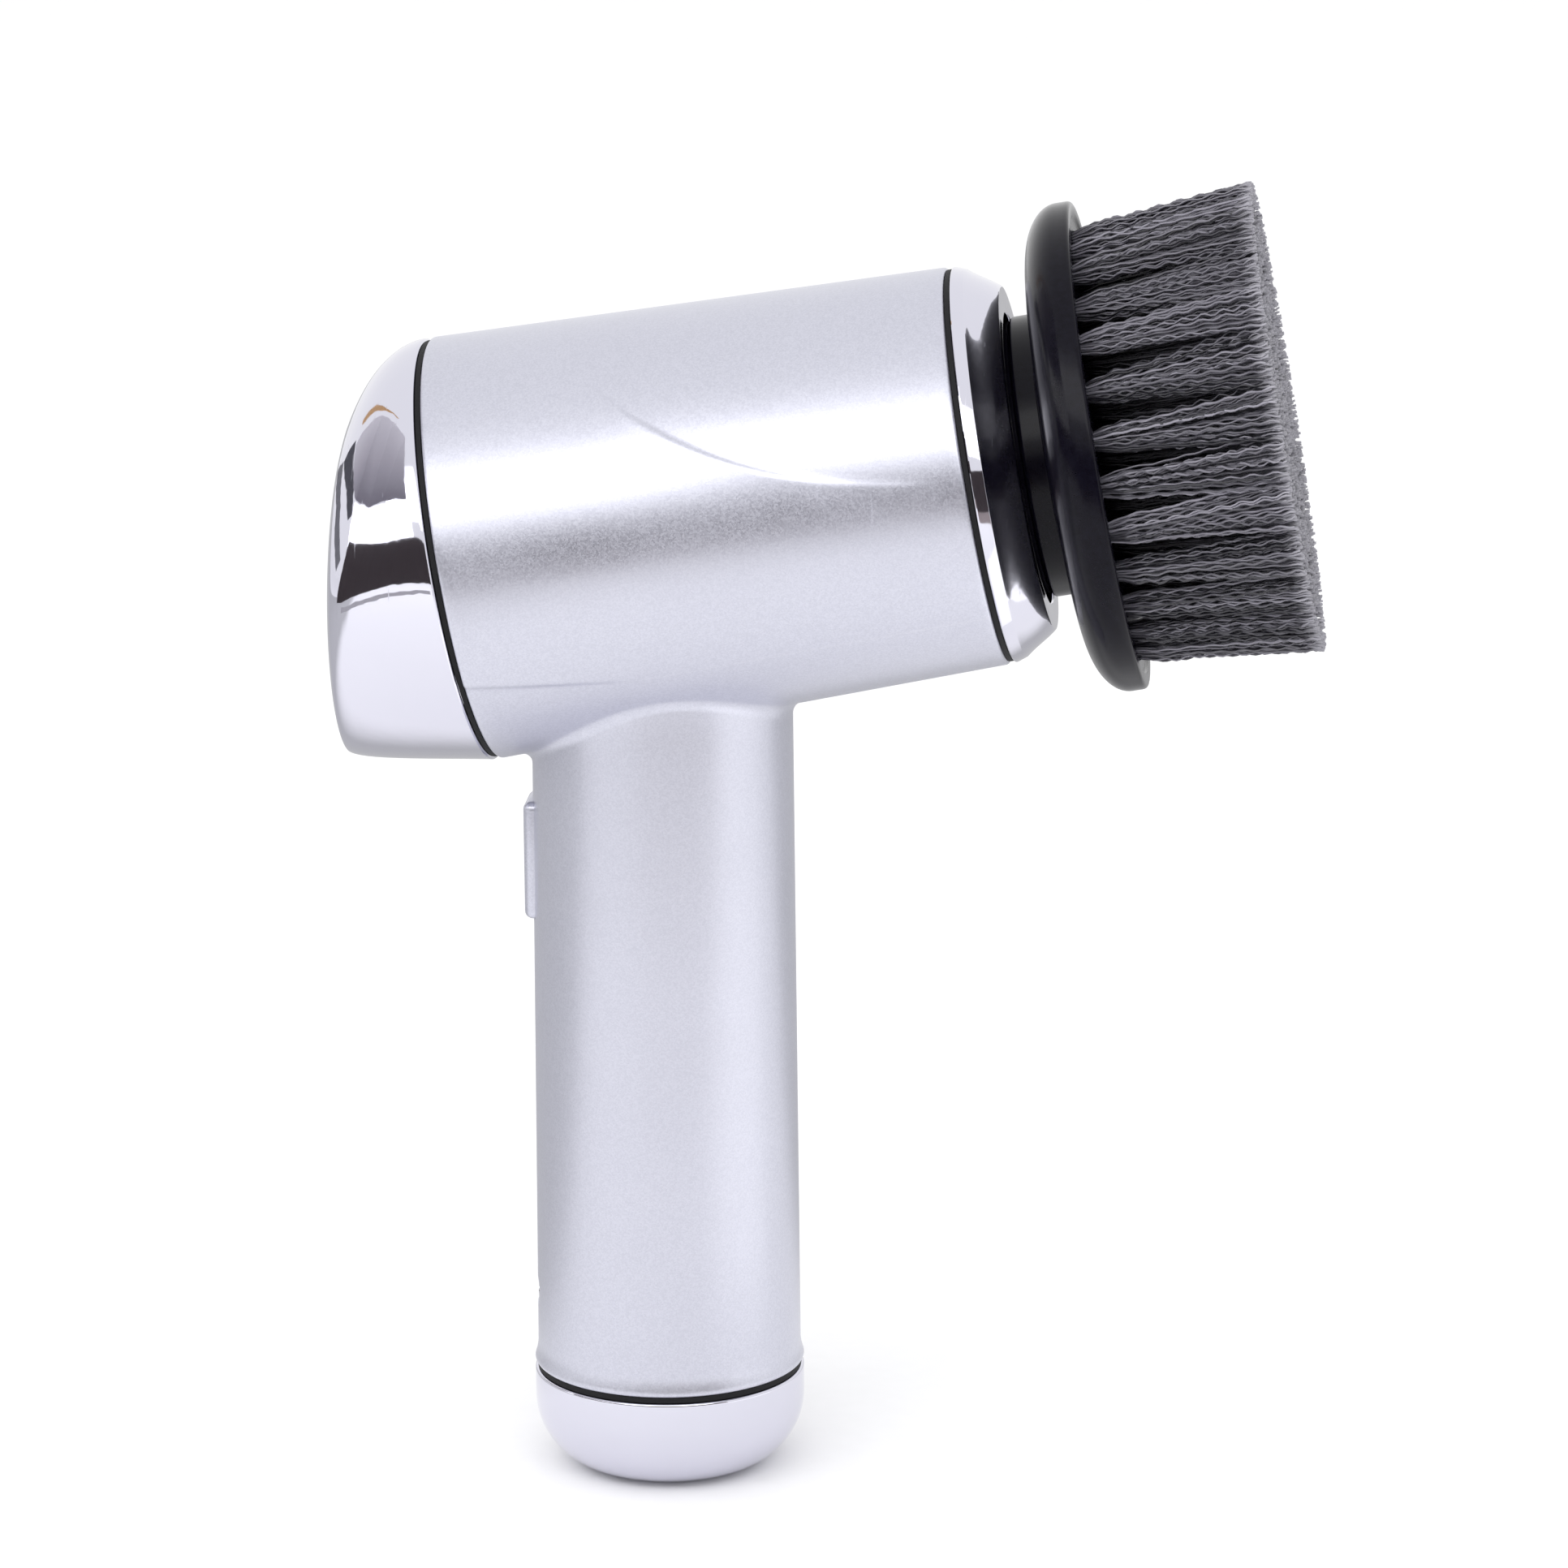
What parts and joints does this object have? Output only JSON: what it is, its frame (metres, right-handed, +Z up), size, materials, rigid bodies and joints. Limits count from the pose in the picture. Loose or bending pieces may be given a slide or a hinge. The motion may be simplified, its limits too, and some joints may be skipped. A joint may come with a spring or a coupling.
{
  "type": "handheld rotary cleansing brush",
  "caption": "Cordless pistol-grip power brush: a tapered barrel on an upright handle drives a round disc of stiff bristles, with a rear cap, a front collar and a handle end cap.",
  "frame": {"origin": "centre of the flat end of the handle, the face that the tool stands on", "axes": "+Z up along the handle, +X forwards towards the brush head, +Y to the tool's left"},
  "size_m": [0.1336, 0.0658, 0.1793],
  "materials": {
    "silver_paint": "satin",
    "chrome_plating": "polished",
    "black_plastic": "satin",
    "bristle": "matte",
    "rubber": "matte",
    "steel": "satin",
    "aluminium": "satin",
    "grey_nylon": "matte",
    "white_nylon": "satin",
    "rotor": "satin",
    "ferrite": "matte",
    "circuit_board": "satin",
    "cell_wrap": "satin",
    "brass": "satin",
    "red_insulation": "satin",
    "black_insulation": "satin"
  },
  "bodies": {
    "body": {"body_shell": "silver_paint", "handle_end_cap": "chrome_plating", "handle_seam_ring": "rubber", "tact_switch": "black_plastic", "control_board": "circuit_board", "charging_port": "steel", "battery_tray": "black_plastic", "battery_cell": "cell_wrap", "battery_lead_plus": "red_insulation", "battery_lead_minus": "black_insulation", "motor_lead_plus": "red_insulation", "motor_lead_minus": "black_insulation", "rear_cap": "chrome_plating", "rear_seam_ring": "rubber", "front_collar": "chrome_plating", "front_seam_ring": "rubber", "motor_can": "steel", "motor_end_bell": "white_nylon", "motor_magnet_lower": "ferrite", "motor_magnet_upper": "ferrite", "motor_screw_1": "steel", "motor_screw_2": "steel", "gearbox_housing": "grey_nylon", "gearbox_front_plate": "aluminium", "rear_bearing": "steel", "front_bearing": "steel", "shaft_seal": "rubber", "drive_screw_1": "steel", "drive_screw_2": "steel", "drive_screw_3": "steel"},
    "armature": {"motor_armature": "rotor", "sun_pinion": "brass"},
    "carrier": {"planet_carrier": "steel", "planet_pin_1": "steel", "planet_pin_2": "steel", "planet_pin_3": "steel", "output_shaft": "steel"},
    "planet_1": {"planet_gear_1": "white_nylon"},
    "planet_2": {"planet_gear_2": "white_nylon"},
    "planet_3": {"planet_gear_3": "white_nylon"},
    "brush_head": {"brush_backplate": "black_plastic", "hub_socket": "brass", "bristles": "bristle"},
    "button": {"power_button": "silver_paint"}
  },
  "joints": [
    {"name": "brush_spin", "type": "hinge", "parent": "body", "child": "carrier", "pos_m": [0, 0, 0.13345], "axis": [0.9856, 0, 0.1693], "continuous": true},
    {"name": "motor_spin", "type": "hinge", "parent": "body", "child": "armature", "pos_m": [0, 0, 0.13345], "axis": [0.9856, 0, 0.1693], "continuous": true},
    {"name": "planet_spin_1", "type": "hinge", "parent": "carrier", "child": "planet_1", "pos_m": [0.02327, 0, 0.12649], "axis": [0.9856, 0, 0.1693], "continuous": true},
    {"name": "planet_spin_2", "type": "hinge", "parent": "carrier", "child": "planet_2", "pos_m": [0.02052, 0.00935, 0.14245], "axis": [0.9856, 0, 0.1693], "continuous": true},
    {"name": "planet_spin_3", "type": "hinge", "parent": "carrier", "child": "planet_3", "pos_m": [0.02052, -0.00935, 0.14245], "axis": [0.9856, 0, 0.1693], "continuous": true},
    {"name": "brush_release", "type": "slide", "parent": "carrier", "child": "brush_head", "axis": [0.9856, 0, 0.1693], "range_m": [0, 0.013]},
    {"name": "button_press", "type": "slide", "parent": "body", "child": "button", "axis": [1, 0, 0], "range_m": [0, 0.0007], "stiffness_N_per_m": 1500, "springref_m": -0.0005}
  ],
  "couplings": [
    {"joint": "motor_spin", "follows": "brush_spin", "ratio": 6},
    {"joint": "planet_spin_1", "follows": "brush_spin", "ratio": -2.5},
    {"joint": "planet_spin_2", "follows": "brush_spin", "ratio": -2.5},
    {"joint": "planet_spin_3", "follows": "brush_spin", "ratio": -2.5}
  ]
}
